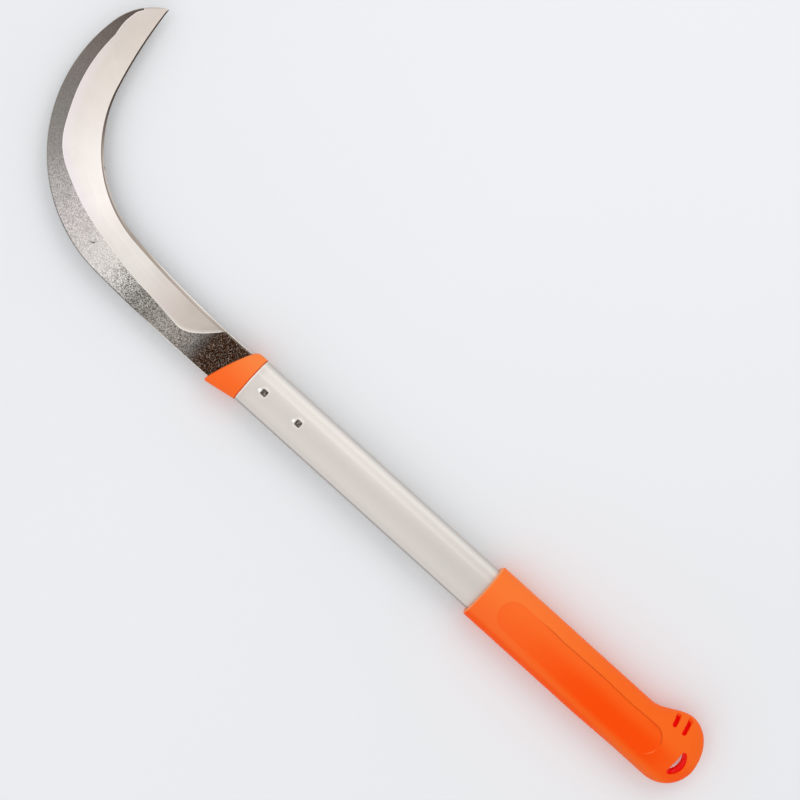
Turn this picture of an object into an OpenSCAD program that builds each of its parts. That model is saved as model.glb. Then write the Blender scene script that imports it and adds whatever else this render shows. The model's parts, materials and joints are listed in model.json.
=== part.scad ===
// Brush sickle: a forged, hooked blade whose tang is pinned in an oval aluminium tube,
// with a moulded nose plug at the tube's mouth and a moulded grip on its other end.
// The tool lies flat. X runs along the handle towards the blade, Z is up, and the
// cutting edge faces -Y. Shapes are first drawn from the tube's mouth, on the tube's axis.

/* [Handle tube] */
// Length of bare tube between the nose plug and the grip
bare_tube = 200; // [180:1:220]
// Length of tube inside the grip
tube_in_grip = 140; // [100:5:140]
// Width of the oval tube
tube_w = 32; // [30:0.5:34]
// Thickness of the oval tube
tube_t = 20; // [19:0.5:22]
// Radius of the narrow sides of the oval
tube_side_r = 8; // [7:0.25:8.5]
// Wall of the tube
tube_wall = 1.5; // [1.2:0.1:2]

/* [Blade] */
// Thickness of the steel at the nose plug
blade_t = 3.2; // [2.8:0.1:3.6]
// Thickness of the steel at the nose, where it starts to thin towards the tip
nose_t = 2.4; // [1.8:0.1:2.8]
// Radius of the back along the shank
back_shank_r = 1450; // [1200:50:2000]
// Turn of the back along the shank
back_shank_turn = 3.9; // [3:0.1:4.5]
// Radius of the back in the main bend
back_bend_r = 106.5; // [100:0.5:112]
// Turn of the back in the main bend
back_bend_turn = 98.6; // [92:0.2:102]
// Radius of the back at the nose
back_nose_r = 42; // [38:0.5:46]
// Turn of the back at the nose
back_nose_turn = 50; // [45:0.5:54]
// Angle between the edge and the back at the tip
tip_angle = 65.5; // [62:0.5:68]
// Radius of the edge at the nose
edge_nose_r = 323; // [300:1:350]
// Turn of the edge at the nose
edge_nose_turn = 10.5; // [9.5:0.1:11.5]
// Radius of the edge in the main bend
edge_bend_r = 87; // [84:0.5:90]
// Turn of the edge in the main bend
edge_bend_turn = 68.2; // [66:0.2:70]
// Radius of the edge along the shank
edge_shank_r = 650; // [600:10:720]
// Turn of the edge along the shank
edge_shank_turn = 9.2; // [8.6:0.1:9.8]

/* [Grinding] */
// Steel left at the very edge
edge_t = 0.2; // [0.1:0.05:0.4]
// Steel left where the main bevel meets the small edge bevel
bevel_t = 0.9; // [0.7:0.05:1.2]
// Width of the small edge bevel in the bend
edge_bevel_w = 2.4; // [1.8:0.1:3]
// Width of the small edge bevel at the tip
tip_bevel_w = 1; // [0.6:0.1:1.4]
// How fast the grinding runs out at the heel
run_out_power = 2.1; // [1.6:0.1:2.6]
// How far the forged heel stands below the ground back face
heel_step = 0.3; // [0.2:0.05:0.5]

/* [Tang and pins] */
// Width of the tang
tang_w = 22; // [18:0.5:24]
// Thickness of the tang
tang_t = 2.5; // [2:0.1:2.8]
// Length of the tang inside the tube
tang_l = 54; // [50:1:60]
// Width of the square lock pins
pin_w = 4; // [3.5:0.1:5]
// Distance of the front pin from the tube's mouth
pin_front = 12.5; // [10:0.5:15]
// Distance between the two pins
pin_pitch = 29; // [24:0.5:32]
// How far the pin's ends lie below the tube's surface
pin_sink = 0.8; // [0.4:0.1:1.2]

/* [Nose plug] */
// How far the plug stands proud of the tube all round
plug_proud = 0.35; // [0.2:0.05:0.6]
// Length of the visible plug on the tube's axis
plug_l = 16; // [15:0.5:20]
// Half thickness of the plug at the blade
plug_front_h = 7.8; // [7:0.1:9]
// Reach of the plug's beak beyond the tube's side
plug_beak = 3.8; // [2.5:0.1:4.5]
// Slant of the plug's front: rise in X for each mm of Y
plug_slant = 0.412; // [0.36:0.01:0.46]
// How far the plug's front corner is rounded back on the edge's side
plug_corner = 2.6; // [2:0.1:3.4]
// Length of the plug inside the tube
plug_insert_l = 62; // [58:1:72]

/* [Grip] */
// Length of the grip
grip_l = 177; // [165:1:190]
// Width of the grip
grip_w = 39.6; // [38:0.2:42]
// Thickness of the grip
grip_t = 27; // [26:0.5:29]
// Reach of the finger hook beyond the grip's side
hook_reach = 10; // [8:0.5:12]
// Length of the finger hook's swell
hook_l = 27; // [24:1:34]
// Length of the rounded butt
butt_l = 21.8; // [20:0.2:24]
// Length over which the grip thins towards the butt
butt_taper_l = 42; // [38:1:46]
// Distance from the grip's mouth to the recessed panel
panel_gap = 14.4; // [10:0.2:16]
// Width of the recessed panel
panel_w = 20.8; // [18:0.2:22]
// Length of the recessed panel
panel_l = 133; // [120:1:136]
// Depth of the recessed panel at its front
panel_depth = 0.5; // [0.3:0.1:0.8]
// Depth of the recessed panel at its back
panel_end_depth = 1.1; // [0.8:0.1:1.4]
// Distance from the butt to the straight side of the hanging hole
hole_from_butt = 14.6; // [13:0.2:16]
// Width of the half-moon hanging hole
hole_w = 17.6; // [16:0.2:18.4]
// Height of the half-moon hanging hole
hole_h = 7; // [6:0.2:7.6]
// Width of the slots in the finger hook
slot_w = 3; // [2:0.1:3.6]
// Depth of the slots in the finger hook
slot_depth = 8; // [5:0.5:9]

/* [Hidden] */
$fn = 96;
tube_l = bare_tube + tube_in_grip;
clearance = 0.05;
// Exponents of the rounded sections: 2 is an ellipse, more is squarer
plug_section = 2.15;
grip_section = 2.25;
steel = [0.55, 0.53, 0.51];
aluminium = [0.82, 0.80, 0.78];
orange = [1.0, 0.40, 0.14];
pin_steel = [0.25, 0.24, 0.23];

// A pose is [x, y, heading]. An arc is [radius, turn]. side is 1 for a left turn, -1 for right.
function arc_pose(pose, side, arc, share) =
    let(
        h = pose[2],
        end_h = h + side * arc[1] * share,
        centre = [pose[0] - side * arc[0] * sin(h), pose[1] + side * arc[0] * cos(h)]
    )
    [centre[0] + side * arc[0] * sin(end_h), centre[1] - side * arc[0] * cos(end_h), end_h];
// The poses at which the arcs of a chain begin, and the pose at its end
function chain_poses(pose, side, arcs, i = 0) =
    i == len(arcs)
    ? [pose]
    : concat([pose], chain_poses(arc_pose(pose, side, arcs[i], 1), side, arcs, i + 1));
// The pose at station u of a chain, where each arc is one unit of u
function chain_at(poses, side, arcs, u) =
    let(i = max(0, min(len(arcs) - 1, floor(u))))
    arc_pose(poses[i], side, arcs[i], u - i);

// The back of the blade: shank, main bend and nose, from the nose plug to the tip.
// It starts at the plug, as far from the tube's mouth and from its axis as this says.
back_start = [21.7, 16.95, 1];
back_arcs = [
    [back_shank_r, back_shank_turn],
    [back_bend_r, back_bend_turn],
    [back_nose_r, back_nose_turn]
];
back_poses = chain_poses(back_start, -1, back_arcs);
tip = back_poses[3];
// The cutting edge, from the tip back to the nose plug
edge_start = [tip[0], tip[1], tip[2] + tip_angle + 180];
edge_arcs = [
    [edge_nose_r, edge_nose_turn],
    [edge_bend_r, edge_bend_turn],
    [edge_shank_r, edge_shank_turn]
];
edge_poses = chain_poses(edge_start, 1, edge_arcs);
function back_at(u) = let(p = chain_at(back_poses, -1, back_arcs, u)) [p[0], p[1]];
function edge_at(u) = let(p = chain_at(edge_poses, 1, edge_arcs, 3 - u)) [p[0], p[1]];
function width_at(u) = norm(edge_at(u) - back_at(u));

// A smooth curve through knots [u, value]
function slope(knots, i) =
    let(a = knots[max(i - 1, 0)], b = knots[min(i + 1, len(knots) - 1)])
    (b[1] - a[1]) / (b[0] - a[0]);
function smooth_value(knots, u, i = 0) =
    (i < len(knots) - 2 && u > knots[i + 1][0])
    ? smooth_value(knots, u, i + 1)
    : let(
        d = knots[i + 1][0] - knots[i][0],
        s = (u - knots[i][0]) / d,
        s2 = s * s,
        s3 = s2 * s
    )
    knots[i][1] * (2 * s3 - 3 * s2 + 1) + slope(knots, i) * d * (s3 - 2 * s2 + s)
    + knots[i + 1][1] * (3 * s2 - 2 * s3) + slope(knots, i + 1) * d * (s3 - s2);

// Share of the blade's width that stays as forged, behind the grind line
forged_share = [
    [0.40, 0.365], [0.60, 0.425], [0.85, 0.455], [1.10, 0.525], [1.33, 0.425],
    [1.50, 0.270], [1.68, 0.285], [1.95, 0.240], [2.20, 0.145], [2.40, 0.085], [2.58, 0]
];
// Stations where the grinding starts at the heel, reaches its full width, and meets the back
grind_start = 0.20;
grind_full = forged_share[0][0];
grind_end = forged_share[len(forged_share) - 1][0];
// Station at which the blade ends inside the nose plug
seat_u = -0.06;
// Least width of the chamfer along the back, and its greatest share of the blade's width
back_chamfer = 0.5;
back_chamfer_share = 0.12;
// 1 where the grinding starts at the heel, falling to 0 where the bevel has its full width
function run_out(u) =
    u >= grind_full ? 0 : pow(min(1, (grind_full - u) / (grind_full - grind_start)), run_out_power);
function back_share(u) = min(back_chamfer / width_at(u), back_chamfer_share);
function grind_share(u) =
    let(
        forged = u >= grind_end ? 0 : smooth_value(forged_share, max(u, grind_full)),
        share = forged + (0.985 - forged) * run_out(u)
    )
    max(share, back_share(u) + 0.05);
function edge_bevel_share(u) =
    let(w = edge_bevel_w + (tip_bevel_w - edge_bevel_w) * max(0, u - 1) / 2)
    1 - min(w / width_at(u), 0.5 * (1 - grind_share(u)));
// Station at the nose from which the steel thins along a curve towards the tip
thinning_from = 2;
// Height of the top face over the ground back face
function top_at(u) =
    let(
        full = blade_t + (nose_t - blade_t) * min(max(0, u), thinning_from) / thinning_from,
        narrowed = 1 - width_at(max(u, thinning_from)) / width_at(thinning_from)
    )
    bevel_t + (full - bevel_t) * (1 - narrowed * narrowed);
function bevel_height(u) = bevel_t + (top_at(u) - 0.15 - bevel_t) * run_out(u);
function edge_height(u) = edge_t + (top_at(u) - 0.3 - edge_t) * run_out(u);
function across(u, share, z) =
    let(p = back_at(u) + share * (edge_at(u) - back_at(u)))
    [p[0], p[1], z - blade_t / 2];
// One section of the blade, from the bottom of the back round to the bottom of the edge
function blade_ring(u) =
    let(top = top_at(u))
    [
        across(u, 0, -heel_step),
        across(u, 0, top - min(back_chamfer, 0.3 * top)),
        across(u, back_share(u), top),
        across(u, grind_share(u), top),
        across(u, edge_bevel_share(u), bevel_height(u)),
        across(u, 1, edge_height(u)),
        across(u, 1, -heel_step)
    ];
blade_stations = concat(
    [seat_u, 0.07, grind_start],
    [for (i = [1:13]) grind_start + (grind_full - grind_start) * i / 13],
    [for (i = [1:8]) grind_full + (1 - grind_full) * i / 8],
    [for (i = [1:40]) 1 + i / 40],
    [for (i = [1:26]) 2 + 0.98 * i / 26]
);

// Closes a stack of rings with a cap at its start and at its end. All rings have the same
// count of points and turn right-handed about the way the stack runs. A cap is a fan round
// one more point.
module loft(rings, first, last) {
    n = len(rings[0]);
    m = len(rings);
    points = concat([for (ring = rings) for (p = ring) p], [first, last]);
    walls = [
        for (j = [0:m - 2]) for (i = [0:n - 1])
            let(a = j * n + i, b = j * n + (i + 1) % n)
            for (face = [[a, b + n, b], [a, a + n, b + n]]) face
    ];
    start_cap = [for (i = [0:n - 1]) [m * n, i, (i + 1) % n]];
    end_cap = [for (i = [0:n - 1]) [m * n + 1, (m - 1) * n + (i + 1) % n, (m - 1) * n + i]];
    polyhedron(points = points, faces = concat(walls, start_cap, end_cap), convexity = 10);
}

// A plain oval of four tangent arcs: half width a, half thickness b, side radius r
module oval(a, b, r) {
    c = a - r;
    big_r = (c * c + b * b - r * r) / (2 * (b - r));
    // Half width at which the side arc meets the flat arc
    meet = c + r * c / (big_r - r);
    intersection() {
        translate([0, b - big_r]) circle(r = big_r);
        translate([0, big_r - b]) circle(r = big_r);
        square([2 * meet, 2 * b], center = true);
    }
    translate([c, 0]) circle(r = r);
    translate([-c, 0]) circle(r = r);
}
// A stretch of oval bar along X, between two places on the tube's axis
module oval_bar(from_x, to_x, inset) {
    translate([from_x, 0, 0])
        rotate([90, 0, 90])
            linear_extrude(height = to_x - from_x)
                oval(tube_w / 2 - inset, tube_t / 2 - inset, tube_side_r - inset);
}
module rounded_rectangle(w, l, r) {
    square([w, l - 2 * r], center = true);
    square([w - 2 * r, l], center = true);
    for (x = [-1, 1]) for (y = [-1, 1])
        translate([x * (w / 2 - r), y * (l / 2 - r)]) circle(r = r);
}
// Corners of the pins and of their holes
pin_corner = 0.6;
// The places of the two lock pins on the tube's axis
pin_x = [-pin_front, -pin_front - pin_pitch];
module pin_holes(width) {
    for (x = pin_x)
        translate([x, 0, -tube_t])
            linear_extrude(height = 2 * tube_t)
                rounded_rectangle(width, width, pin_corner);
}

// Centres the tool and stands it on its lowest face
function xs(points) = [for (p = points) p[0]];
blade_reach = max(xs([for (u = blade_stations) back_at(u)]));
side_reach = max(grip_w / 2, tube_w / 2 + plug_proud + plug_beak);
butt_x = -bare_tube - grip_l;
shift = [-(blade_reach + butt_x) / 2, -(side_reach + tip[1]) / 2, grip_t / 2];
module place() {
    translate(shift) children();
}

// The slanted, slightly convex front of the nose plug
plug_bow = 0.0031;
function plug_front_x(y) = plug_l + plug_slant * y - plug_bow * y * y;
// Sides and half thickness of the plug, from its tube end, f = 0, to its front, f = 1
plug_half_w = tube_w / 2 + plug_proud;
plug_half_t = tube_t / 2 + plug_proud;
corner_from = 0.6;
function plug_low(f) =
    let(s = max(0, f - corner_from) / (1 - corner_from))
    plug_corner * (1 - sqrt(1 - 0.96 * s * s)) - plug_half_w;
function plug_high(f) = plug_half_w + plug_beak * min(1, f / 0.92);
function plug_thick(f) = plug_half_t - (plug_half_t - plug_front_h) * pow(f, 1.6);
// Signed power of a sine or cosine, which squares up an ellipse a little
function bent(v, power) = sign(v) * pow(abs(v), power);
plug_steps = 72;
function plug_ring(f, inset) =
    [
        for (i = [0:plug_steps - 1])
            let(
                a = 360 * i / plug_steps,
                c = bent(cos(a), 2 / plug_section),
                y = (c > 0 ? plug_high(f) - inset / 2 : -plug_low(f) - inset / 2) * c,
                z = (plug_thick(f) - inset) * bent(sin(a), 2 / plug_section)
            )
            [f * plug_front_x(y), y, z]
    ];

module nose_plug() {
    rings = concat(
        [for (f = [0:0.1:0.9]) plug_ring(f, 0)],
        [plug_ring(0.945, 0.12), plug_ring(0.975, 0.5), plug_ring(0.993, 1.1), plug_ring(1, 1.9)]
    );
    low_y = -tang_w / 2 - clearance;
    seat = [
        for (side = [1, -1]) for (u = side > 0 ? [seat_u - 0.002, 0.12] : [0.12, seat_u - 0.002])
            let(p = side > 0 ? back_at(u) : edge_at(u))
            [p[0], p[1] + side * clearance]
    ];
    color(orange) place() difference() {
        union() {
            loft(rings, [0, 0, 0], [plug_front_x(1.8), 1.8, 0]);
            oval_bar(-plug_insert_l, 1, tube_wall + clearance);
        }
        // Seat for the heel of the blade
        translate([0, 0, -blade_t / 2 - heel_step - clearance])
            linear_extrude(height = blade_t + heel_step + 2 * clearance)
                polygon(seat);
        // Slot for the tang
        translate([-tang_l - 0.5, low_y, -tang_t / 2 - clearance])
            cube([tang_l + plug_l, tang_w + 2 * clearance, tang_t + 2 * clearance]);
        pin_holes(pin_w + 2 * clearance);
    }
}

// The part of the back that is ground flat starts on a line just in front of the nose plug
module ground_back() {
    heel = back_at(0.05);
    line = edge_at(0.05) - heel;
    translate([heel[0], heel[1], -blade_t / 2 - 10])
        rotate([0, 0, atan2(line[1], line[0]) + 90])
            translate([0, -300, 0])
                cube([400, 600, 10]);
}
module tang() {
    half = tang_w / 2;
    linear_extrude(height = tang_t, center = true)
        polygon([
            [8, -half], [8, half], [-tang_l + 8, half], [-tang_l, half - 5],
            [-tang_l, 5 - half], [8 - tang_l, -half]
        ]);
}
module blade() {
    rings = [for (u = blade_stations) blade_ring(u)];
    start = across(seat_u, 0.5, blade_t / 3);
    color(steel) place() difference() {
        union() {
            difference() {
                loft(rings, start, [tip[0], tip[1], edge_t - blade_t / 2]);
                ground_back();
            }
            tang();
        }
        pin_holes(pin_w + 2 * clearance);
    }
}

module handle_tube() {
    color(aluminium) place() difference() {
        oval_bar(-tube_l, 0, 0);
        oval_bar(-tube_l - 1, 1, tube_wall);
        pin_holes(pin_w + 2 * clearance);
    }
}

// A square pin, its ends just below the surface of the tube
module lock_pin(x) {
    color(pin_steel) place()
        translate([x, 0, 0])
            linear_extrude(height = tube_t - 2 * pin_sink, center = true)
                rounded_rectangle(pin_w, pin_w, pin_corner);
}
module lock_pin_front() { lock_pin(pin_x[0]); }
module lock_pin_rear() { lock_pin(pin_x[1]); }

// Outline of the grip: a straight body, a finger hook on the edge's side, a rounded butt
butt_start = butt_x + butt_l;
butt_y = -2.6;
function ease(s) = let(t = max(0, min(1, s))) t * t * (3 - 2 * t);
function butt_round(x) = x >= butt_start ? 1 : sqrt(max(0, 1 - pow((butt_start - x) / butt_l, 2)));
function grip_centre(x) = butt_y * ease((butt_start + 15 - x) / 30);
function grip_high(x) =
    let(side = grip_w / 2 - 0.8 * ease((butt_start + 58 - x) / 34))
    butt_y + (side - butt_y) * butt_round(x);
function grip_low(x) =
    let(side = grip_w / 2 + hook_reach * ease((butt_start + hook_l - x) / hook_l))
    butt_y - (side + butt_y) * butt_round(x);
function grip_thick(x) =
    let(start = butt_x + butt_taper_l)
    grip_t / 2 * sqrt(1 - pow(max(0, start - x) / (butt_taper_l + 0.6), 2));
grip_steps = 72;
function grip_ring(x, inset) =
    [
        for (i = [0:grip_steps - 1])
            let(
                a = -360 * i / grip_steps,
                c = bent(cos(a), 2 / grip_section),
                half = c > 0 ? grip_high(x) - grip_centre(x) : grip_centre(x) - grip_low(x)
            )
            [x, grip_centre(x) + (half - inset) * c, (grip_thick(x) - inset) * bent(sin(a), 2 / grip_section)]
    ];

function arc_points(centre, r, from, to, n) =
    [for (i = [0:n]) let(a = from + (to - from) * i / n) centre + r * [cos(a), sin(a)]];
// Half-moon outline of the hanging hole, its straight side on x = 0 and its bow towards -X
module half_moon() {
    corner_r = 1.6;
    corner_y = hole_w / 2 - corner_r;
    rise = hole_h - 2 * corner_r;
    // The bow runs tangent into both round corners
    bow_r = (rise * rise + corner_y * corner_y) / (2 * rise) + corner_r;
    bow_x = bow_r - hole_h;
    meet = 180 - atan2(corner_y, corner_r + bow_x);
    polygon(concat(
        arc_points([-corner_r, -corner_y], corner_r, 360 - meet, 360, 8),
        arc_points([-corner_r, corner_y], corner_r, 0, meet, 8),
        arc_points([bow_x, 0], bow_r, meet + 4, 356 - meet, 22)
    ));
}

// The slots in the finger hook: [distance from the butt, distance from the axis, length].
// They have rounded corners, and slant across the grip.
hook_slots = [[22.9, -22.6, 11.2], [30.8, -21.3, 8.6]];
slot_corner = 0.9;
slot_slant = 7;

// What is taken away to leave the panel, whose floor follows the grip's own crown
module panel_cut() {
    crown_r = 38;
    front = -bare_tube - panel_gap;
    tilt = atan((panel_end_depth - panel_depth) / panel_l);
    difference() {
        translate([0, 0, 5]) linear_extrude(height = 20) {
            translate([front - panel_l / 2, 0]) square([panel_l - panel_w, panel_w], center = true);
            for (x = [panel_w / 2, panel_l - panel_w / 2])
                translate([front - x, 0]) circle(d = panel_w);
        }
        translate([front, 0, grip_t / 2 - panel_depth])
            rotate([0, -tilt, 0])
                translate([-panel_l - 20, 0, -crown_r])
                    rotate([0, 90, 0]) cylinder(r = crown_r, h = panel_l + 40, $fn = 180);
    }
}

// Where the middle of the hanging hole lies, across the handle
hole_y = -0.9;
module grip_sleeve() {
    mouth = -bare_tube;
    hook_start = butt_start + hook_l + 3;
    rings = concat(
        [grip_ring(mouth, 1.2), grip_ring(mouth - 0.35, 0.5), grip_ring(mouth - 1.2, 0)],
        [for (x = [mouth - 60, mouth - 95, hook_start]) grip_ring(x, 0)],
        [for (i = [1:13]) grip_ring(hook_start - (hook_start - butt_start) * i / 13, 0)],
        [for (a = [7:7:84]) grip_ring(butt_start - butt_l * sin(a), 0)],
        [grip_ring(butt_x + 0.03, 0)]
    );
    color(orange) place() difference() {
        loft(rings, [mouth, 0, 0], [butt_x, butt_y, 0]);
        oval_bar(-tube_l - clearance, mouth + 1, -clearance);
        for (side = [0, 1]) mirror([0, 0, side]) {
            panel_cut();
            for (slot = hook_slots)
                translate([butt_x + slot[0], slot[1], grip_t / 2 - slot_depth])
                    rotate([0, 0, slot_slant])
                        linear_extrude(height = slot_depth)
                            rounded_rectangle(slot_w, slot[2], slot_corner);
        }
        translate([butt_x + hole_from_butt, hole_y, -grip_t])
            linear_extrude(height = 2 * grip_t) half_moon();
    }
}

blade();
nose_plug();
handle_tube();
lock_pin_front();
lock_pin_rear();
grip_sleeve();
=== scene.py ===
import json
import math

import bmesh
import bpy
import numpy as np
from mathutils import Matrix, Vector
from mathutils.kdtree import KDTree

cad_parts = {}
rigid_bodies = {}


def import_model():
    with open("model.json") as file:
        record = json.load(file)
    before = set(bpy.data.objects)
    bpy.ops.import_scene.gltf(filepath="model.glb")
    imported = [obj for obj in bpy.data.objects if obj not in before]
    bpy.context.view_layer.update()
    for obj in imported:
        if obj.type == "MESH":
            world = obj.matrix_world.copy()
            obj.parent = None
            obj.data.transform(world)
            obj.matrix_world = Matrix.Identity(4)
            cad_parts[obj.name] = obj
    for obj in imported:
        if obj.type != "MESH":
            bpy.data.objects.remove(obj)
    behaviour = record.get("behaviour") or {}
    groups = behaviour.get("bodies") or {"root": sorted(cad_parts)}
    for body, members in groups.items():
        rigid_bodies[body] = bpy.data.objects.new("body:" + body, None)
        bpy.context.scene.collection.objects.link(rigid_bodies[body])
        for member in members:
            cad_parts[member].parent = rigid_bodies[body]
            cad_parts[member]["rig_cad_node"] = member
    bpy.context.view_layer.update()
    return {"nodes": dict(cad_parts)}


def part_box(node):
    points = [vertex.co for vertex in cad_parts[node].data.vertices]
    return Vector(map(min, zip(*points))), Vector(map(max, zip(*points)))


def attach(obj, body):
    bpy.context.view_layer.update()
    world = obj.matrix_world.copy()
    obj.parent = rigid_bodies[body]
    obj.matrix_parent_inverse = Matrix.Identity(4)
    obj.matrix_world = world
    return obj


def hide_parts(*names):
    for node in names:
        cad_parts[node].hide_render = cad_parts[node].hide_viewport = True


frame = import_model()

MM = 0.001


# Handle tube: a straight length of extruded oval aluminium tube with a satin anodised skin.
# Two square holes are punched through it for the lock pins, with a low burr thrown up round
# each. The nose plug closes its mouth and the grip is pushed over its other end.
tube_low, tube_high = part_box("handle_tube")
mouth_x = tube_high.x
axis_y = (tube_low.y + tube_high.y) / 2
axis_z = (tube_low.z + tube_high.z) / 2
tube_half_w = (tube_high.y - tube_low.y) / 2
tube_half_t = 10 * MM
tube_side_r = 8 * MM
tube_wall = 1.5 * MM
pin_hole_half = 2.05 * MM
pin_hole_corner = 0.2 * MM
burr_height = 0.24 * MM
burr_reach = 1.9 * MM
tube_edge_r = 0.2 * MM
oval_side_steps = 16
oval_flat_steps = 48
same_place = 0.01 * MM
pin_places = [(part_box(pin)[0].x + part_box(pin)[1].x) / 2 for pin in ("lock_pin_rear", "lock_pin_front")]


def edit(piece):
    """Opens one piece in edit mode, with nothing else selected."""
    bpy.ops.object.select_all(action="DESELECT")
    piece.select_set(True)
    bpy.context.view_layer.objects.active = piece
    bpy.ops.object.mode_set(mode="EDIT")


def pick(kind, test):
    """Selects, in edit mode, only the vertices, edges or faces that pass the test."""
    bpy.ops.mesh.select_mode(type=kind)
    bpy.ops.mesh.select_all(action="DESELECT")
    shape = bmesh.from_edit_mesh(bpy.context.object.data)
    for part in {"VERT": shape.verts, "EDGE": shape.edges, "FACE": shape.faces}[kind]:
        if test(part):
            part.select_set(True)
    shape.select_flush_mode()
    bmesh.update_edit_mesh(bpy.context.object.data)


def lone_point(name, place):
    """A new mesh of one selected vertex, open in edit mode, from which a profile is drawn."""
    bpy.ops.object.select_all(action="DESELECT")
    bpy.ops.mesh.primitive_plane_add(size=MM, location=place)
    bpy.context.object.name = name
    bpy.ops.object.transform_apply(location=True)
    bpy.ops.object.mode_set(mode="EDIT")
    bpy.ops.mesh.select_mode(type="VERT")
    bpy.ops.mesh.select_all(action="SELECT")
    bpy.ops.mesh.merge(type="CENTER")
    return bpy.context.object


def draw_arc(centre, turn, axis, steps):
    """Carries the selected end of a profile on by an arc. A positive turn is right-handed."""
    bpy.ops.mesh.spin(steps=steps, angle=-turn, center=centre, axis=axis)


def draw_oval(name, x, half_w, half_t, side_r):
    """A closed oval of four tangent arcs, across the handle at x, all of it selected."""
    side_y = half_w - side_r
    flat_r = (side_y ** 2 + half_t ** 2 - side_r ** 2) / (2 * (half_t - side_r))
    flat_z = half_t - flat_r
    lean = math.atan2(-flat_z, side_y)
    foot = (x, axis_y + side_y + side_r * math.cos(lean), axis_z - side_r * math.sin(lean))
    profile = lone_point(name, foot)
    lengthwise = (1, 0, 0)
    for side in (1, -1):
        draw_arc((x, axis_y + side * side_y, axis_z), 2 * lean, lengthwise, oval_side_steps)
        draw_arc((x, axis_y, axis_z + side * flat_z), math.pi - 2 * lean, lengthwise, oval_flat_steps)
    bpy.ops.mesh.select_all(action="SELECT")
    bpy.ops.mesh.remove_doubles(threshold=same_place)
    return profile


def apply_modifier(piece, kind, **settings):
    """Adds one modifier to a piece and applies it."""
    bpy.ops.object.select_all(action="DESELECT")
    piece.select_set(True)
    bpy.context.view_layer.objects.active = piece
    modifier = piece.modifiers.new(kind.lower(), kind)
    for name, value in settings.items():
        setattr(modifier, name, value)
    bpy.ops.object.modifier_apply(modifier=modifier.name)


# The oval is drawn out along the tube, in short steps round each hole to give its burr a shape
tube = draw_oval("oval_tube", tube_low.x, tube_half_w, tube_half_t, tube_side_r)
fine_step = pin_hole_half / 4
fine_steps = 12
tube_stops = [tube_low.x]
for pin_x in pin_places:
    tube_stops += [pin_x + fine_step * step for step in range(-fine_steps, fine_steps + 1)]
tube_stops += [mouth_x]
for stop, next_stop in zip(tube_stops, tube_stops[1:]):
    bpy.ops.mesh.extrude_region_move(TRANSFORM_OT_translate={"value": (next_stop - stop, 0, 0)})
bpy.ops.mesh.select_all(action="SELECT")
bpy.ops.mesh.normals_make_consistent(inside=False)


def in_pin_hole(x, y, margin):
    """Whether a place lies over a pin hole, or within this margin of one."""
    reach = pin_hole_half + margin
    return abs(y - axis_y) < reach and any(abs(x - pin_x) < reach for pin_x in pin_places)


# The holes are opened, their corners are drawn in a little, and their rims are raised as burrs
pick("FACE", lambda face: in_pin_hole(*face.calc_center_median().xy, 0))
bpy.ops.mesh.delete(type="FACE")
hair = 0.02 * MM
drawn_in = 1 - pin_hole_corner / pin_hole_half
for pin_x in pin_places:
    for side in (-1, 1):
        def on_this_hole(vertex):
            near = abs(vertex.co.x - pin_x) < 2 * pin_hole_half and (vertex.co.z - axis_z) * side > 0
            return near and in_pin_hole(vertex.co.x, vertex.co.y, hair)

        def at_its_corner(vertex):
            ends = (abs(vertex.co.x - pin_x), abs(vertex.co.y - axis_y))
            return on_this_hole(vertex) and min(ends) > pin_hole_half - hair

        pick("VERT", at_its_corner)
        bpy.ops.transform.resize(value=(drawn_in, drawn_in, 1), center_override=(pin_x, axis_y, axis_z))
        pick("VERT", on_this_hole)
        bpy.ops.transform.translate(
            value=(0, 0, side * burr_height), use_proportional_edit=True,
            proportional_edit_falloff="SMOOTH", proportional_size=burr_reach)
bpy.ops.object.mode_set(mode="OBJECT")
apply_modifier(tube, "SOLIDIFY", thickness=tube_wall, offset=-1, use_even_offset=True)
apply_modifier(
    tube, "BEVEL", width=tube_edge_r, segments=2, limit_method="ANGLE", angle_limit=math.radians(60))
bpy.ops.object.shade_smooth_by_angle(angle=math.radians(35))


class Reading:
    """A number that a finish's nodes give, on which Python's operators add Math nodes."""

    def __init__(self, finish, socket):
        self.finish = finish
        self.socket = socket

    def math(self, operation, *values):
        """What a Math node makes of these values."""
        return self.finish.node("Math", {"operation": operation}, dict(enumerate(values)))

    def __add__(self, other):
        return self.math("ADD", self, other)

    def __sub__(self, other):
        return self.math("SUBTRACT", self, other)

    def __rsub__(self, other):
        return self.math("SUBTRACT", other, self)

    def __mul__(self, other):
        return self.math("MULTIPLY", self, other)

    def __truediv__(self, other):
        return self.math("DIVIDE", self, other)

    def __pow__(self, other):
        return self.math("POWER", self, other)

    def __abs__(self):
        return self.math("ABSOLUTE", self)

    __radd__ = __add__
    __rmul__ = __mul__


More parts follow.
